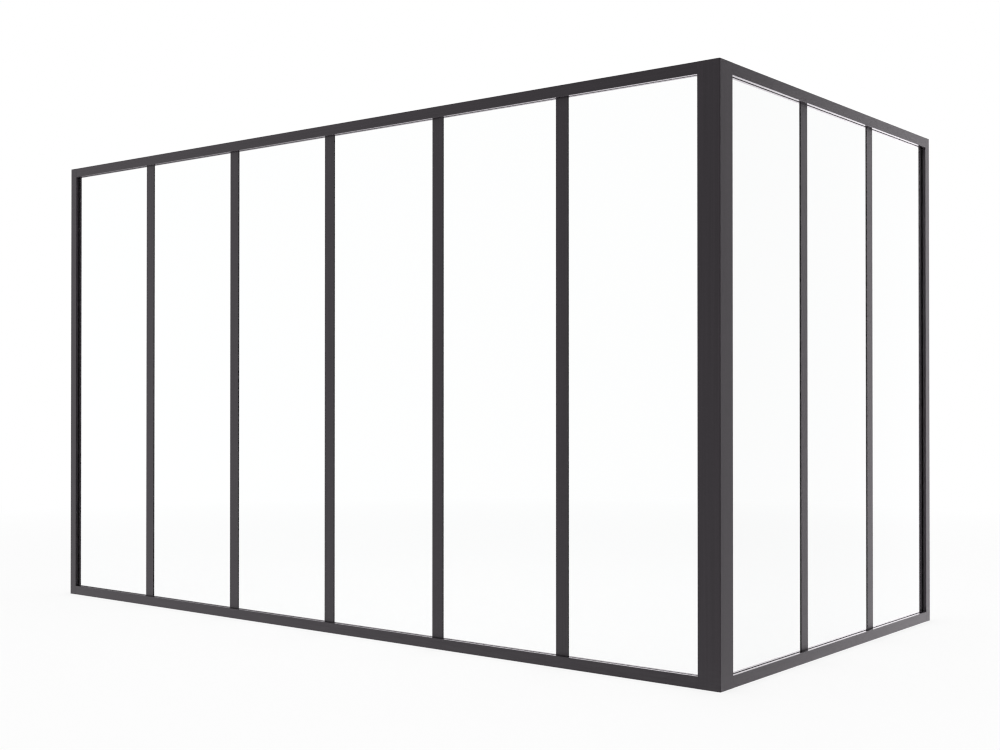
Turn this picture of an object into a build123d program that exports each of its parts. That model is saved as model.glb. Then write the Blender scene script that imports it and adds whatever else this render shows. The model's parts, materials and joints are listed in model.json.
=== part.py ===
from build123d import *
import os

# Interior glass partition: two glazed runs that meet at a corner post, in millimetres.
# The long run's outer face looks towards -Y and the short run's towards +X.
# The origin is on the floor, under the middle of the partition's outline.

# Overall sizes
partition_height = 2500.0
long_run_length = 4330.0
short_run_length = 2200.0
long_bay_count = 6
short_bay_count = 3

# Extruded frame section of the rails and end jambs
frame_face = 50.0
frame_depth = 38.0
frame_wall = 2.0
frame_arris_radius = 0.8
slot_width = 10.0
slot_depth = 18.0
groove_setback = 5.0
groove_height = 3.0
groove_depth = 1.5
screw_bore_radius = 2.1
screw_port_wall = 1.6
screw_port_sink = 0.6
screw_port_gap = 1.8

# Extruded corner post
post_width = 103.0
post_wall = 3.0
post_arris_radius = 4.0
post_seam_radius = 0.4
end_plate_thickness = 4.0

# Glass and what seats it
glass_thickness = 5.0
glass_bite = 13.0
gasket_height = 8.0
gasket_recess = 2.5
gasket_nose_radius = 1.0
gasket_foot_gap = 0.2
block_length = 80.0
block_side_gap = 0.5
block_inset = 110.0

# Extruded mullions, an H that laps the edges of two panes
mullion_width = 64.0
mullion_flange = 1.0
mullion_web = 3.0
mullion_edge_radius = 0.3
mullion_top_gap = 3.0
mullion_side_gap = 0.3
pane_edge_gap = 2.0
seal_thickness = 0.25
seal_width = 12.0
seal_setback = 1.0

# What follows from them
slot_front = (frame_depth - slot_width) / 2
slot_back = slot_front + slot_width
slot_floor = frame_face - slot_depth
groove_middle = frame_face - groove_setback
gasket_thickness = (slot_width - glass_thickness) / 2
glass_front = slot_front + gasket_thickness
glass_back = glass_front + glass_thickness
mullion_thickness = glass_thickness + 2 * (seal_thickness + mullion_flange)
pane_bottom = frame_face - glass_bite
pane_top = partition_height - pane_bottom
daylight_top = partition_height - frame_face
screw_port_radius = screw_bore_radius + screw_port_wall
screw_port_centre = frame_wall + screw_port_radius - screw_port_sink


def box_between(low, high):
    """A block from its lowest to its highest corner."""
    size = [b - a for a, b in zip(low, high)]
    return Pos(*low) * Box(*size, align=(Align.MIN, Align.MIN, Align.MIN))


def rectangle_between(low, high):
    """A flat rectangle from its lowest to its highest corner."""
    return Pos(*low) * Rectangle(high[0] - low[0], high[1] - low[1], align=(Align.MIN, Align.MIN))


def glazing_slot():
    """Slot for the glass, with a groove in each side for a gasket's foot.

    Seen from the end of a member: x from its outer edge to the glass, y from its outer face inwards.
    """
    slot = rectangle_between((slot_floor, slot_front), (frame_face, slot_back))
    grooves = rectangle_between(
        (groove_middle - groove_height / 2, slot_front - groove_depth),
        (groove_middle + groove_height / 2, slot_back + groove_depth),
    )
    return slot + grooves


def frame_outline():
    """Outline of a rail or jamb with its slot."""
    body = Pos(frame_face / 2, frame_depth / 2) * RectangleRounded(
        frame_face, frame_depth, frame_arris_radius
    )
    return body - glazing_slot()


def frame_hollow():
    """The room inside the wall of a rail or jamb."""
    return offset(frame_outline(), amount=-frame_wall, kind=Kind.INTERSECTION)


def screw_port_places():
    """Where the two screw ports stand on the side walls of the chamber, open towards its middle."""
    front = Location((slot_floor / 2, screw_port_centre, 0), (0, 0, 90))
    back = Location((slot_floor / 2, frame_depth - screw_port_centre, 0), (0, 0, -90))
    return front, back


def screw_port():
    """A C that a self-tapping screw bites into, open along local X."""
    opening = Rectangle(screw_port_radius, screw_port_gap, align=(Align.MIN, Align.CENTER))
    return Circle(screw_port_radius) - Circle(screw_bore_radius) - opening


def frame_section():
    """Closed hollow extrusion with a glazing slot in its inner edge and two screw ports."""
    section = frame_outline() - frame_hollow()
    for place in screw_port_places():
        section += place * screw_port()
    return section


def frame_plate():
    """The closing plate of a jamb, notched round the screw ports."""
    plate = frame_hollow()
    for place in screw_port_places():
        plate -= place * Circle(screw_port_radius)
    return plate


def post_outline():
    """Post seen from above, with the outer corner at 0, 0 and a slot towards each run."""
    square = rectangle_between((-post_width, 0), (0, post_width))
    corners = square.vertices().sort_by_distance((0, 0, 0))
    eased = fillet(corners[1:3], post_seam_radius)
    corners = eased.vertices().sort_by_distance((0, 0, 0))
    body = fillet([corners[0], corners[-1]], post_arris_radius)
    long_slot = Location((frame_face - post_width, frame_depth, 0), (0, 0, 180)) * glazing_slot()
    short_slot = Location((0, post_width - frame_face, 0), (0, 0, 90)) * glazing_slot()
    return body - long_slot - short_slot


def post_hollow():
    """The room inside the post's wall."""
    return offset(post_outline(), amount=-post_wall, kind=Kind.INTERSECTION)


def corner_post():
    return extrude(post_outline() - post_hollow(), amount=partition_height)


def end_plates(outline):
    """A closing plate in each end of an upright, welded flush inside its wall."""
    base = extrude(outline, amount=end_plate_thickness)
    top = Pos(0, 0, partition_height - end_plate_thickness) * base
    return top, base


def sill_rail(start, end):
    plane = Plane(origin=(end, 0, 0), x_dir=(0, 0, 1), z_dir=(-1, 0, 0))
    return extrude(plane * frame_section(), amount=end - start)


def head_rail(start, end):
    plane = Plane(origin=(start, 0, partition_height), x_dir=(0, 0, -1), z_dir=(1, 0, 0))
    return extrude(plane * frame_section(), amount=end - start)


def end_jamb():
    return extrude(frame_section(), amount=partition_height)


def mullion_centres(start, end, bays):
    """Centre lines that leave the same width of clear glass in each bay."""
    clear = (end - start - (bays - 1) * mullion_width) / bays
    return [start + n * (clear + mullion_width) - mullion_width / 2 for n in range(1, bays)]


def mullion_section():
    """An H seen from above: a flange on each side of the glass and a web between the panes."""
    middle = frame_depth / 2
    reach = (mullion_thickness - mullion_flange) / 2
    flange = RectangleRounded(mullion_width, mullion_flange, mullion_edge_radius)
    web = Pos(0, middle) * Rectangle(mullion_web, 2 * reach)
    return Pos(0, middle - reach) * flange + web + Pos(0, middle + reach) * flange


def mullion(centre):
    """The bar stands on the floor of the sill's slot and reaches up into the head's slot."""
    length = partition_height - 2 * slot_floor - mullion_top_gap
    return extrude(Pos(centre, 0, slot_floor) * mullion_section(), amount=length)


def mullion_seals(centre):
    """Four strips between a mullion's flanges and the faces of its two panes."""
    outer = mullion_width / 2 - seal_setback
    inner = outer - seal_width
    for left, right in ((centre - outer, centre - inner), (centre + inner, centre + outer)):
        for front in (glass_front - seal_thickness, glass_back):
            yield box_between(
                (left, front, frame_face), (right, front + seal_thickness, daylight_top)
            )


def pane(left, right):
    return box_between((left, glass_front, pane_bottom), (right, glass_back, pane_top))


def setting_blocks(left, right):
    """Two blocks in the sill's slot that carry a pane."""
    for middle in (left + block_inset, right - block_inset):
        yield box_between(
            (middle - block_length / 2, slot_front + block_side_gap, slot_floor),
            (middle + block_length / 2, slot_back - block_side_gap, pane_bottom),
        )


def gasket_ring(start, end):
    """The rounded strip of a gasket round all four sides of a run, lying on Plane.XY."""
    inner = rectangle_between(
        (start - gasket_recess, frame_face - gasket_recess),
        (end + gasket_recess, daylight_top + gasket_recess),
    )
    outer = rectangle_between(
        (start - gasket_height, frame_face - gasket_height),
        (end + gasket_height, daylight_top + gasket_height),
    )
    ring = extrude(outer - inner, amount=gasket_thickness)
    faces = ring.faces().sort_by(Axis.Z)
    nose = faces[0].inner_wires()[0].edges() + faces[-1].inner_wires()[0].edges()
    return fillet(nose, gasket_nose_radius)


def gasket_feet(start, end):
    """Four feet that fill the grooves of the rails and uprights, below Plane.XY."""
    reach = groove_depth - gasket_foot_gap
    near = groove_setback - groove_height / 2 + gasket_foot_gap
    far = groove_setback + groove_height / 2 - gasket_foot_gap
    low = frame_face - far
    high = frame_face - near
    top_low = daylight_top + near
    top_high = daylight_top + far
    yield box_between((start, low, -reach), (end, high, 0))
    yield box_between((start, top_low, -reach), (end, top_high, 0))
    yield box_between((start - far, low, -reach), (start - near, top_high, 0))
    yield box_between((end + near, low, -reach), (end + far, top_high, 0))


def inner_gasket(start, end, centres):
    """Gasket against the slot's inner side, interrupted where a mullion stands in the rails' slots."""
    gasket = gasket_ring(start, end)
    for foot in gasket_feet(start, end):
        gasket += foot
    reach = mullion_width / 2 + mullion_side_gap
    for centre in centres:
        gasket -= box_between(
            (centre - reach, 0, -frame_depth), (centre + reach, partition_height, frame_depth)
        )
    slot_side = Plane(origin=(0, slot_back, 0), x_dir=(1, 0, 0), z_dir=(0, -1, 0))
    return [slot_side.location * solid for solid in gasket.solids()]


def outer_gasket(start, end, centres):
    """The inner gasket mirrored about the middle of the glass."""
    glass_middle = Plane(origin=(0, frame_depth / 2, 0), z_dir=(0, 1, 0))
    return [mirror(solid, about=glass_middle) for solid in inner_gasket(start, end, centres)]


def glazed_run(name, start, end, bays):
    """Every piece of a run except its jamb and the post. The run lies along X, its outer face at y = 0."""
    centres = mullion_centres(start, end, bays)
    edge = mullion_web / 2 + pane_edge_gap
    left_edges = [start - glass_bite] + [centre + edge for centre in centres]
    right_edges = [centre - edge for centre in centres] + [end + glass_bite]
    nodes = {
        f"{name}_head_rail": [head_rail(start, end)],
        f"{name}_sill_rail": [sill_rail(start, end)],
        f"{name}_outer_gasket": outer_gasket(start, end, centres),
        f"{name}_inner_gasket": inner_gasket(start, end, centres),
        f"{name}_mullion_seals": [],
        f"{name}_setting_blocks": [],
    }
    for number, centre in enumerate(centres, 1):
        nodes[f"{name}_mullion_{number}"] = [mullion(centre)]
        nodes[f"{name}_mullion_seals"].extend(mullion_seals(centre))
    for number, (left, right) in enumerate(zip(left_edges, right_edges), 1):
        nodes[f"{name}_pane_{number}"] = [pane(left, right)]
        nodes[f"{name}_setting_blocks"].extend(setting_blocks(left, right))
    return nodes


def long_run():
    """The long run with its end jamb at the left, seen from outside."""
    nodes = glazed_run("long", frame_face, long_run_length - post_width, long_bay_count)
    nodes["long_end_jamb"] = [end_jamb()]
    nodes["long_jamb_end_plates"] = list(end_plates(frame_plate()))
    return nodes


def short_run():
    """The short run with its end jamb at the right, seen from outside."""
    nodes = glazed_run("short", post_width, short_run_length - frame_face, short_bay_count)
    turned = Location((short_run_length, frame_depth, 0), (0, 0, 180))
    nodes["short_end_jamb"] = [turned * end_jamb()]
    nodes["short_jamb_end_plates"] = [turned * plate for plate in end_plates(frame_plate())]
    return nodes


def partition():
    """Every node of the partition, in place."""
    corner_x = long_run_length / 2
    outer_y = -short_run_length / 2
    long_place = Location((-corner_x, outer_y, 0))
    short_place = Location((corner_x, outer_y, 0), (0, 0, 90))
    post_place = Location((corner_x, outer_y, 0))
    post_top_plate, post_base_plate = end_plates(post_hollow())
    nodes = {
        "corner_post": [post_place * corner_post()],
        "post_top_plate": [post_place * post_top_plate],
        "post_base_plate": [post_place * post_base_plate],
    }
    for place, run in ((long_place, long_run()), (short_place, short_run())):
        for name, solids in run.items():
            nodes[name] = [place * solid for solid in solids]
    return nodes


os.makedirs("parts", exist_ok=True)
for node_name, node_solids in partition().items():
    shape = node_solids[0] if len(node_solids) == 1 else Compound(children=node_solids)
    shape.label = node_name
    export_step(shape, f"parts/{node_name}.step")
    print(node_name, len(node_solids), round(sum(solid.volume for solid in node_solids)))
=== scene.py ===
# %% [markdown]
# # A corner glass partition, dressed for its portrait
#
# The frame, the glass and the seals are already exact solids, so this lesson
# doesn't model them again. It gives each of them the finish it has on the real
# object, and builds the studio round it: a white backdrop, a pale floor, soft
# light and a camera where the photographer stood. Every length is in metres.

# %% Load the solids
import json
import math

import bpy
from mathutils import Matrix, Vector


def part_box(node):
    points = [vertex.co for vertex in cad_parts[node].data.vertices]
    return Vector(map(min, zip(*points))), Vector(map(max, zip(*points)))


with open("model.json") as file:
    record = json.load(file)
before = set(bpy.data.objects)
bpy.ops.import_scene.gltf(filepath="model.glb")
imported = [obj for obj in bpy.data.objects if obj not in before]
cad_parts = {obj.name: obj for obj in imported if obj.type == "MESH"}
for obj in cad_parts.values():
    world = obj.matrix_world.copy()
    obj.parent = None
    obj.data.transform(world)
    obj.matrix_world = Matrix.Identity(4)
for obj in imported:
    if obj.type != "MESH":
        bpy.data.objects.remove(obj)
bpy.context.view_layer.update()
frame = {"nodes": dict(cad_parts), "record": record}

slot_of_node = {part["node"]: part["material_slot"] for part in frame["record"]["subparts"]}

# %% [markdown]
# ## The camera
#
# The uprights in the photograph are almost parallel, so the camera looked
# nearly level, from a little under half the partition's height. Its place and
# lens come from fitting the six outer corners. A tilt of less than half a
# degree and a small shift of the frame put the corners where they belong.
# Moving the camera nearer with a wider lens would also fill the frame, but
# then the far ends of both runs would shrink too fast.

# %% Camera
CAMERA_PLACE = (4.8283, -5.8660, 1.1703)
LEVEL_GAZE = math.radians(90.0)
TILT_UP = 0.00666
TURN_LEFT = 0.66900

camera_data = bpy.data.cameras.new("portrait_camera")
camera_data.lens = 49.31
camera_data.sensor_width = 36.0
camera_data.shift_y = 0.0107
camera_data.clip_end = 200.0
camera = bpy.data.objects.new("portrait_camera", camera_data)
camera.location = CAMERA_PLACE
camera.rotation_euler = (LEVEL_GAZE + TILT_UP, 0.0, TURN_LEFT)
bpy.context.collection.objects.link(camera)
bpy.context.scene.camera = camera
bpy.context.scene.view_settings.view_transform = "Standard"
print("camera at", CAMERA_PLACE, "lens", round(camera_data.lens, 2))

# %% [markdown]
# ## Helpers for materials
#
# Every finish here is a small tree of nodes, and so is the light round the
# partition. Each tree could be written out link by link, but a few short
# helpers keep the cells that build them readable. These three add a node with
# its sockets set, start a material with its surface shader and output, and
# give the place of a point on the surface.

# %% Nodes and materials
def add_node(tree, kind, **sockets):
    """Add a node, and set the sockets that are named with underscores for spaces."""
    node = tree.nodes.new(kind)
    for name, value in sockets.items():
        node.inputs[name.replace("_", " ")].default_value = value
    return node


def new_finish(name, **sockets):
    """A material with one Principled shader, whose plain values are set on its own sockets."""
    finish = bpy.data.materials.new(name)
    finish.use_nodes = True
    tree = finish.node_tree
    tree.nodes.clear()
    shader = add_node(tree, "ShaderNodeBsdfPrincipled", **sockets)
    output = tree.nodes.new("ShaderNodeOutputMaterial")
    tree.links.new(shader.outputs["BSDF"], output.inputs["Surface"])
    return finish, tree, shader, output


def add_place(tree):
    """The place of a point on the surface. Every solid's own frame is the partition's frame."""
    return tree.nodes.new("ShaderNodeTexCoord").outputs["Object"]


print("helpers: add_node, new_finish, add_place")

# %% [markdown]
# ## Helpers for sums
#
# The next four work on what flows between nodes: a grey value, a vector or a
# colour. Each of them could hand back its whole node, but then every call
# would have to name a socket as well. They give back the socket of the result,
# so that one call can go inside another, as in plain arithmetic.

# %% Sums and blends
def add_range(tree, source, from_low, from_high, to_low=0.0, to_high=1.0):
    """Stretch a grey value from one range to another, and stop at its ends."""
    stretch = add_node(
        tree, "ShaderNodeMapRange",
        From_Min=from_low, From_Max=from_high, To_Min=to_low, To_Max=to_high,
    )
    tree.links.new(source, stretch.inputs["Value"])
    return stretch.outputs["Result"]


def add_math(tree, operation, first, second):
    """One sum on two grey values, each a socket or a plain number."""
    step = tree.nodes.new("ShaderNodeMath")
    step.operation = operation
    for socket, value in zip(step.inputs, (first, second)):
        if isinstance(value, (int, float)):
            socket.default_value = value
        else:
            tree.links.new(value, socket)
    return step.outputs["Value"]


def add_vector_step(tree, operation, source, other=(0.0, 0.0, 0.0)):
    """One sum on a vector, with a plain vector as its second term."""
    step = tree.nodes.new("ShaderNodeVectorMath")
    step.operation = operation
    tree.links.new(source, step.inputs[0])
    step.inputs[1].default_value = other
    return step.outputs["Value" if operation in ("DOT_PRODUCT", "LENGTH") else "Vector"]


def add_blend(tree, factor, first, second):
    """Blend two colours by a grey value. Each is a plain colour or a socket."""
    mix = tree.nodes.new("ShaderNodeMix")
    mix.data_type = "RGBA"
    tree.links.new(factor, mix.inputs["Factor"])
    for socket, colour in ((mix.inputs["A"], first), (mix.inputs["B"], second)):
        if isinstance(colour, tuple):
            socket.default_value = (*colour, 1.0)
        else:
            tree.links.new(colour, socket)
    return mix.outputs["Result"]


print("helpers: add_range, add_math, add_vector_step, add_blend")

# %% [markdown]
# ## Helpers for grain
#
# Grain, orange peel and streaks are all noise. It is measured in metres, so
# the grain has its real size on a long rail and on a small block alike. A
# texture stretched over each piece would swell with the piece. Most of such
# noise lies between 0.3 and 0.7, so the finishes stretch a range like that to
# what they need. The bumps are stacked, because a shader has only one input
# for them.

# %% Noise and bumps
def add_noise(tree, per_metre, detail, roughness, stretch=None):
    """Grey noise with so many grains to the metre, squeezed or stretched along X, Y and Z."""
    place = add_place(tree)
    if stretch:
        place = add_vector_step(tree, "MULTIPLY", place, stretch)
    noise = add_node(tree, "ShaderNodeTexNoise", Scale=per_metre, Detail=detail, Roughness=roughness)
    tree.links.new(place, noise.inputs["Vector"])
    return noise.outputs["Fac"]


def add_bump(tree, shader, layers):
    """Stack bumps on a shader: each layer is a height and how far it stands up, in metres."""
    normal = None
    for height, distance in layers:
        bump = add_node(tree, "ShaderNodeBump", Strength=1.0, Distance=distance)
        tree.links.new(height, bump.inputs["Height"])
        if normal:
            tree.links.new(normal, bump.inputs["Normal"])
        normal = bump.outputs["Normal"]
    tree.links.new(normal, shader.inputs["Normal"])


print("helpers: add_noise, add_bump")

# %% [markdown]
# ## Wear and lines in the powder coat
#
# The extrusions are coated with a fine satin powder in a near-black
# anthracite. Low down, where a mop and shoes touch it, the coat is slightly
# duller and paler, in streaks that run along the sill. That wear fades out at
# 12 cm. The coat is thin, so the faint lines that the die leaves along an
# extrusion show through it, as bands a little under a centimetre wide that are
# slightly darker or paler. They are far too shallow for the mesh. A bump could
# show them too, but it made the short run's faces too pale, so the colour
# carries them.

# %% Wear and lines
UP = (0.0, 0.0, 1.0)
WEAR_HEIGHT = 0.12
LINES_PER_METRE = 120.0
LINE_STRETCH = 120.0


def add_floor_wear(tree):
    """A grey value that is 0 on a clean coat and up to 1 in the streaks near the floor."""
    height = add_vector_step(tree, "DOT_PRODUCT", add_place(tree), UP)
    low_down = add_range(tree, height, 0.0, WEAR_HEIGHT, 1.0, 0.0)
    noise = add_noise(tree, per_metre=9.0, detail=5.0, roughness=0.65, stretch=(1.0, 1.0, 9.0))
    return add_math(tree, "MULTIPLY", low_down, add_range(tree, noise, 0.42, 0.72))


def add_die_lines(tree, axis):
    """A grey value from 0 to 1 in fine lines that run along one axis: 0, 1 or 2 for X, Y or Z."""
    stretch = [1.0, 1.0, 1.0]
    stretch[axis] = 1.0 / LINE_STRETCH
    noise = add_noise(tree, LINES_PER_METRE, detail=2.0, roughness=0.5, stretch=stretch)
    return add_range(tree, noise, 0.36, 0.64)


print("wear up to", WEAR_HEIGHT, "m, die lines about", round(1000.0 / LINES_PER_METRE, 1), "mm wide")

# %% [markdown]
# ## Powder coat on the frame
#
# Up close such a coat isn't flat: it melts into an orange peel of soft waves 2
# to 4 mm across, with a much finer grain on top. Both are two hundredths of a
# millimetre high at most, so they belong in a bump and not in the mesh. The
# grain also makes the gloss vary a little from place to place. In the
# photograph the coat has a hint of violet. A member may run along X, Y or Z,
# and its lines with it, so there are three versions of the finish.

# %% Powder coat
COAT_DARK = (0.0137, 0.0107, 0.0137)
COAT_PALE = (0.0209, 0.0163, 0.0209)
COAT_WORN = (0.026, 0.023, 0.026)
LINE_SHARE = 0.75
CLEAN_ROUGHNESS = (0.27, 0.33)
WORN_ROUGHER = 0.07
PEEL_HEIGHT = 0.00002
GRAIN_HEIGHT = 0.000004


def make_powder_coat(axis):
    """The coat of a member whose length runs along one axis: 0, 1 or 2 for X, Y or Z."""
    finish, tree, shader, _ = new_finish("satin_powder_coat_" + "xyz"[axis], Metallic=0.0, IOR=1.5)
    cloud = add_noise(tree, per_metre=1.7, detail=3.0, roughness=0.55)
    peel = add_noise(tree, per_metre=330.0, detail=2.0, roughness=0.5)
    grain = add_noise(tree, per_metre=2600.0, detail=2.0, roughness=0.6)
    worn = add_floor_wear(tree)
    patches = add_range(tree, cloud, 0.3, 0.7, 0.0, 1.0 - LINE_SHARE)
    lines = add_math(tree, "MULTIPLY", add_die_lines(tree, axis), LINE_SHARE)
    clean = add_blend(tree, add_math(tree, "ADD", patches, lines), COAT_DARK, COAT_PALE)
    tree.links.new(add_blend(tree, worn, clean, COAT_WORN), shader.inputs["Base Color"])
    gloss = add_range(tree, grain, 0.3, 0.7, *CLEAN_ROUGHNESS)
    dulled = add_math(tree, "ADD", gloss, add_math(tree, "MULTIPLY", worn, WORN_ROUGHER))
    tree.links.new(dulled, shader.inputs["Roughness"])
    add_bump(tree, shader, [(peel, PEEL_HEIGHT), (grain, GRAIN_HEIGHT)])
    return finish


powder_coats = [make_powder_coat(axis) for axis in range(3)]
print("finishes:", [coat.name for coat in powder_coats])

# %% [markdown]
# ## Clear glass
#
# The panes are 5 mm toughened glass, so clear that they vanish against the
# backdrop. A shader that bends light would be the physical way, but a flat
# pane shifts what is behind it by a millimetre or two, and lamps can't shine
# through such a shader, so the floor behind it goes dark. Here each face is
# see-through with a faint tint, and its mirror grows towards a skimming eye,
# as on real glass. Only the face that is turned to the ray mirrors: seen from
# inside the pane, Fresnel would take the back face for a perfect mirror. The
# photograph shows no reflection at all in the panes, as glass with an
# anti-glare coat has, so the mirror is held back to a little under half that
# of plain glass.

# %% Glass
WHITE = (1.0, 1.0, 1.0)
GLASS_TINT = (0.997, 1.000, 0.999)
GLASS_IOR = 1.52
MIRROR_SHARE = 0.45
HAZE_ROUGHNESS = (0.01, 0.06)


def make_glass():
    finish = bpy.data.materials.new("clear_float_glass")
    finish.use_nodes = True
    tree = finish.node_tree
    tree.nodes.clear()
    clear = add_node(tree, "ShaderNodeBsdfTransparent", Color=(*GLASS_TINT, 1.0))
    mirror = add_node(tree, "ShaderNodeBsdfGlossy", Color=(*WHITE, 1.0))
    haze = add_noise(tree, per_metre=3.5, detail=4.0, roughness=0.6)
    tree.links.new(add_range(tree, haze, 0.35, 0.75, *HAZE_ROUGHNESS), mirror.inputs["Roughness"])
    angle = add_node(tree, "ShaderNodeFresnel", IOR=GLASS_IOR)
    face = tree.nodes.new("ShaderNodeNewGeometry")
    front = add_math(tree, "SUBTRACT", 1.0, face.outputs["Backfacing"])
    mirrored = add_math(tree, "MULTIPLY", angle.outputs["Fac"], front)
    mix = tree.nodes.new("ShaderNodeMixShader")
    output = tree.nodes.new("ShaderNodeOutputMaterial")
    tree.links.new(add_math(tree, "MULTIPLY", mirrored, MIRROR_SHARE), mix.inputs["Fac"])
    tree.links.new(clear.outputs["BSDF"], mix.inputs[1])
    tree.links.new(mirror.outputs["BSDF"], mix.inputs[2])
    tree.links.new(mix.outputs["Shader"], output.inputs["Surface"])
    return finish


clear_glass = make_glass()
print("finish:", clear_glass.name)

# %% [markdown]
# ## Rubber gaskets and moulded blocks
#
# The gaskets are extruded black rubber. It is dull, slightly greyed where dust
# settles, and its skin has a fine even grain. It must stay dull even where the
# eye skims along it, or the black lines beside the glass turn grey, so its
# specular level is low. The setting blocks are moulded hard plastic, a touch
# smoother. One function makes both, because they differ only in colour, gloss
# and grain.

# %% Rubber and plastic
TRIM_SPECULAR = 0.12
TRIM_GRAIN_HEIGHT = 0.00001


def make_black_trim(name, dark, pale, roughness_range, grain_per_metre):
    finish, tree, shader, _ = new_finish(
        name, Metallic=0.0, IOR=1.5, Specular_IOR_Level=TRIM_SPECULAR
    )
    dust = add_noise(tree, per_metre=28.0, detail=4.0, roughness=0.6)
    grain = add_noise(tree, grain_per_metre, detail=2.0, roughness=0.55)
    colour = add_blend(tree, add_range(tree, dust, 0.35, 0.75), dark, pale)
    tree.links.new(colour, shader.inputs["Base Color"])
    tree.links.new(add_range(tree, grain, 0.3, 0.7, *roughness_range), shader.inputs["Roughness"])
    add_bump(tree, shader, [(grain, TRIM_GRAIN_HEIGHT)])
    return finish


rubber = make_black_trim(
    "black_rubber", dark=(0.008, 0.008, 0.008), pale=(0.014, 0.014, 0.013),
    roughness_range=(0.62, 0.78), grain_per_metre=1400.0,
)
block_plastic = make_black_trim(
    "moulded_block", dark=(0.016, 0.016, 0.018), pale=(0.024, 0.024, 0.026),
    roughness_range=(0.48, 0.60), grain_per_metre=900.0,
)
print("finishes:", rubber.name, block_plastic.name)

# %% [markdown]
# ## Dress the solids
#
# Each solid says in the record which finish it takes, so one short loop dresses
# them all. A coated member takes the version whose lines run along its longest
# side, which is read from its box. The other slots are looked up by name, and
# a slot with no finish here would stop the script with an error, which is
# better than a grey piece.

# %% Dress the solids
finishes = {
    "clear_glass": clear_glass,
    "black_gasket": rubber,
    "setting_block": block_plastic,
}


def length_axis(node_name):
    """The axis of a piece's longest side: 0, 1 or 2 for X, Y or Z."""
    low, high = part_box(node_name)
    sides = [high[axis] - low[axis] for axis in range(3)]
    return sides.index(max(sides))


for node_name, solid in frame["nodes"].items():
    slot = slot_of_node[node_name]
    if slot == "frame_powder_coat":
        finish = powder_coats[length_axis(node_name)]
    else:
        finish = finishes[slot]
    solid.data.materials.clear()
    solid.data.materials.append(finish)
print("dressed:", len(frame["nodes"]), "solids")

# %% [markdown]
# ## Panels of light
#
# What the satin coat mirrors decides how dark its faces look, and in the
# photograph that depends on where they point. The long run's faces grow paler
# towards the far left and the short run's towards the far right, and the thin
# lips beside the glass, which the eye skims, are nearly white. So the mirrored
# studio has soft panels of light on a dim room: a wide one to the left of the
# camera, a narrower one on the partition's right, and a bright one behind it.
# A dim fourth panel stands behind the camera. The portrait hardly mirrors it,
# but without it the coat would look black when the partition is seen from its
# other sides. All but the bright one are as tall as the studio, so that an
# upright mirrors the same panel from its foot to its top. Real lamps would do
# the same, but they would also throw shadows that the photograph doesn't have.

# %% Panels of light
TALL_PANELS = {
    "left of the camera": {"azimuth": 200.0, "falloff": 3.0, "strength": 1.06},
    "right of the partition": {"azimuth": 93.0, "falloff": 18.0, "strength": 4.7},
    "behind the camera": {"azimuth": 320.0, "falloff": 3.0, "strength": 0.6},
}


def compass(azimuth, elevation=0.0):
    """The unit vector that points to a place in the studio, from two angles in degrees."""
    turn, lift = math.radians(azimuth), math.radians(elevation)
    return (math.cos(turn) * math.cos(lift), math.sin(turn) * math.cos(lift), math.sin(lift))


def add_tall_panel(tree, heading, azimuth, falloff, strength):
    """A panel as tall as the studio, brightest at its azimuth and soft at its sides."""
    towards = add_vector_step(tree, "DOT_PRODUCT", heading, compass(azimuth))
    glow = add_math(tree, "POWER", add_math(tree, "MAXIMUM", towards, 0.0), falloff)
    return add_math(tree, "MULTIPLY", glow, strength)


def add_round_panel(tree, outward, aim, edge, middle, strength):
    """A round panel that fades between two cosines of the angle to its aim."""
    towards = add_vector_step(tree, "DOT_PRODUCT", outward, aim)
    near = add_range(tree, towards, edge, middle)
    return add_math(tree, "MULTIPLY", add_math(tree, "MULTIPLY", near, near), strength)


print("tall panels:", list(TALL_PANELS))

# %% [markdown]
# ## The mirrored studio
#
# This adds up what a shiny surface sees in each direction: the dim room and
# its tall panels, darker overhead and brighter below, then the studio's white
# floor, and the round panel behind the partition. Without the pale floor,
# faces that are seen from above would mirror a dark lower half.

# %% The mirrored studio
DOWN = (0.0, 0.0, -1.0)
ALONG_FLOOR = (1.0, 1.0, 0.0)
ROOM_LEVEL = 0.15
OVERHEAD_SHARE, UNDERFOOT_SHARE = 0.5, 1.5
FLOOR_STARTS, FLOOR_IS_FULL = 0.20, 0.55
FLOOR_LEVEL = 0.75
PANEL_BEHIND = {"aim": compass(azimuth=120.0, elevation=1.0), "edge": 0.86, "middle": 0.99, "strength": 2.6}


def add_mirrored_studio(tree):
    """How bright the studio is for a ray that a shiny surface has mirrored."""
    outward = tree.nodes.new("ShaderNodeTexCoord").outputs["Generated"]
    heading = add_vector_step(tree, "NORMALIZE", add_vector_step(tree, "MULTIPLY", outward, ALONG_FLOOR))
    level = ROOM_LEVEL
    for panel in TALL_PANELS.values():
        level = add_math(tree, "ADD", add_tall_panel(tree, heading, **panel), level)
    downward = add_vector_step(tree, "DOT_PRODUCT", outward, DOWN)
    slope = add_range(tree, downward, -1.0, 1.0, OVERHEAD_SHARE, UNDERFOOT_SHARE)
    pale_floor = add_range(tree, downward, FLOOR_STARTS, FLOOR_IS_FULL, 0.0, FLOOR_LEVEL)
    behind = add_round_panel(tree, outward, **PANEL_BEHIND)
    room = add_math(tree, "MULTIPLY", level, slope)
    return add_math(tree, "ADD", add_math(tree, "ADD", room, pale_floor), behind)


print("room level:", ROOM_LEVEL, "floor level:", FLOOR_LEVEL)

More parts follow.
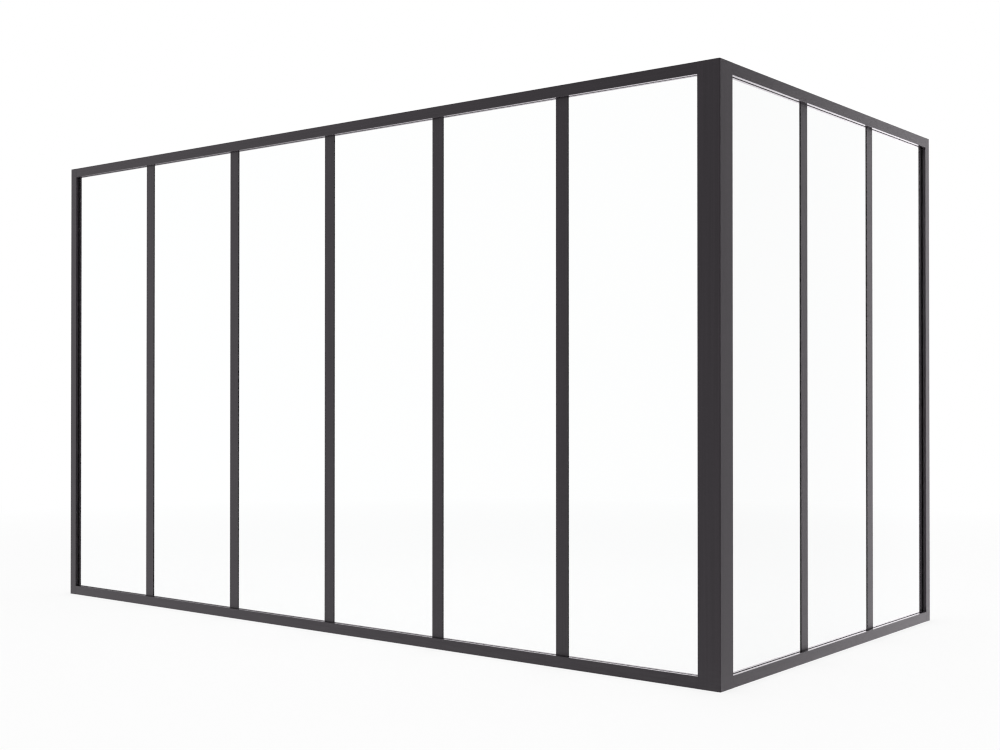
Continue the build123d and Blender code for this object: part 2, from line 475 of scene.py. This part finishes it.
# %% [markdown]
# ## White surround
#
# The photograph has a pure white background. The world gives it: a camera ray,
# or one that has gone through the glass, sees a white of strength 1. A
# mirrored ray sees the studio from the cell before, with the same hint of
# violet as every grey in the photograph, and a diffuse ray a plain soft light.
# One white world for all of them would be simpler, but then every satin face
# would have the same grey.

# %% White surround
SOFT_LIGHT_LEVEL = 0.65
PANEL_TINT = (1.0, 0.955, 1.0)


def make_surround():
    world = bpy.data.worlds.new("white_studio")
    world.use_nodes = True
    sky = world.node_tree
    sky.nodes.clear()
    rays = sky.nodes.new("ShaderNodeLightPath").outputs
    mirrored = add_math(sky, "MULTIPLY", rays["Is Glossy Ray"], add_mirrored_studio(sky))
    lit = add_math(sky, "MULTIPLY", rays["Is Diffuse Ray"], SOFT_LIGHT_LEVEL)
    seen = add_math(sky, "MAXIMUM", rays["Is Camera Ray"], rays["Is Transmission Ray"])
    level = add_math(sky, "MAXIMUM", seen, add_math(sky, "MAXIMUM", mirrored, lit))
    background = sky.nodes.new("ShaderNodeBackground")
    tint = add_blend(sky, rays["Is Glossy Ray"], WHITE, PANEL_TINT)
    sky.links.new(tint, background.inputs["Color"])
    sky.links.new(level, background.inputs["Strength"])
    output = sky.nodes.new("ShaderNodeOutputWorld")
    sky.links.new(background.outputs["Background"], output.inputs["Surface"])
    return world


bpy.context.scene.world = make_surround()
print("world:", bpy.context.scene.world.name)

# %% [markdown]
# ## Floor
#
# The floor is a pale sheet, half a millimetre under the sills so that the two
# surfaces don't flicker. In the photograph it is as white as the background,
# so far from the partition the camera sees it as pure white, and near the
# partition mostly so: the rest is its real, lit surface, which keeps the soft
# contact shadow that makes the partition stand on it. A plain lit sheet would
# turn grey towards the back, and with no sheet the partition would hang in the
# air. Mirrored rays pass through the sheet, because the mirrored studio has a
# pale floor of its own.

# %% Floor
FLOOR_REACH = 60.0
FLOOR_DROP = 0.0005
FLOOR_GREYS = ((0.90, 0.90, 0.90), (0.93, 0.93, 0.93))
WHITE_SHARE_NEAR, WHITE_SHARE_FAR = 0.80, 1.0
NEAR_DISTANCE, FAR_DISTANCE = 2.5, 8.0


def make_floor_finish():
    """A pale lit sheet that turns to pure white with distance for the camera."""
    finish, tree, shader, output = new_finish("pale_floor", Roughness=0.9, Specular_IOR_Level=0.2)
    smudges = add_noise(tree, per_metre=0.8, detail=3.0, roughness=0.5)
    tree.links.new(add_blend(tree, smudges, *FLOOR_GREYS), shader.inputs["Base Color"])
    rays = tree.nodes.new("ShaderNodeLightPath").outputs
    seen = add_math(tree, "MAXIMUM", rays["Is Camera Ray"], rays["Is Transmission Ray"])
    distance = add_vector_step(tree, "LENGTH", add_place(tree))
    share = add_range(tree, distance, NEAR_DISTANCE, FAR_DISTANCE, WHITE_SHARE_NEAR, WHITE_SHARE_FAR)
    white = add_node(tree, "ShaderNodeEmission", Color=(*WHITE, 1.0), Strength=1.0)
    mix = tree.nodes.new("ShaderNodeMixShader")
    tree.links.new(add_math(tree, "MULTIPLY", seen, share), mix.inputs["Fac"])
    tree.links.new(shader.outputs["BSDF"], mix.inputs[1])
    tree.links.new(white.outputs["Emission"], mix.inputs[2])
    tree.links.new(mix.outputs["Shader"], output.inputs["Surface"])
    return finish


def make_floor():
    mesh = bpy.data.meshes.new("studio_floor")
    corners = [(x * FLOOR_REACH, y * FLOOR_REACH, 0.0) for x, y in ((-1, -1), (1, -1), (1, 1), (-1, 1))]
    mesh.from_pydata(corners, [], [(0, 1, 2, 3)])
    mesh.materials.append(make_floor_finish())
    sheet = bpy.data.objects.new("studio_floor", mesh)
    sheet.location.z = -FLOOR_DROP
    sheet.visible_glossy = False
    bpy.context.collection.objects.link(sheet)
    return sheet


floor = make_floor()
print("floor:", floor.name)

# %% [markdown]
# ## Soft light
#
# Most of the light comes from the white surround. One large lamp overhead
# gives the rails and the floor a direction. A small hard lamp would draw sharp
# shadows of the mullions across the floor, and the photograph has none.

# %% Soft light
def add_soft_box(name, place, aim, width, height, watts):
    """A large rectangular lamp at one place that points at another."""
    lamp = bpy.data.lights.new(name, "AREA")
    lamp.shape = "RECTANGLE"
    lamp.size = width
    lamp.size_y = height
    lamp.energy = watts
    box = bpy.data.objects.new(name, lamp)
    box.location = place
    box.rotation_euler = (Vector(aim) - Vector(place)).to_track_quat("-Z", "Y").to_euler()
    bpy.context.collection.objects.link(box)
    return box


overhead = add_soft_box(
    "overhead_soft_box", place=(0.6, -0.4, 6.5), aim=(0.3, -0.2, 0.0), width=7.0, height=6.0, watts=230.0
)
print("lamp:", overhead.name)

# %% [markdown]
# ## Pixel filter
#
# Nothing in this script changes the partition's size. The renderer's pixel
# filter is set here. It blurs each pixel over its neighbours, 1.5 pixels wide
# as it comes. In this portrait the slots beside the glass are about one pixel
# wide, so a slightly narrower filter keeps them darker. At 1.0 the same lines
# would break up into steps.

# %% Pixel filter
FILTER_PIXELS = 1.25

bpy.context.scene.cycles.filter_width = FILTER_PIXELS
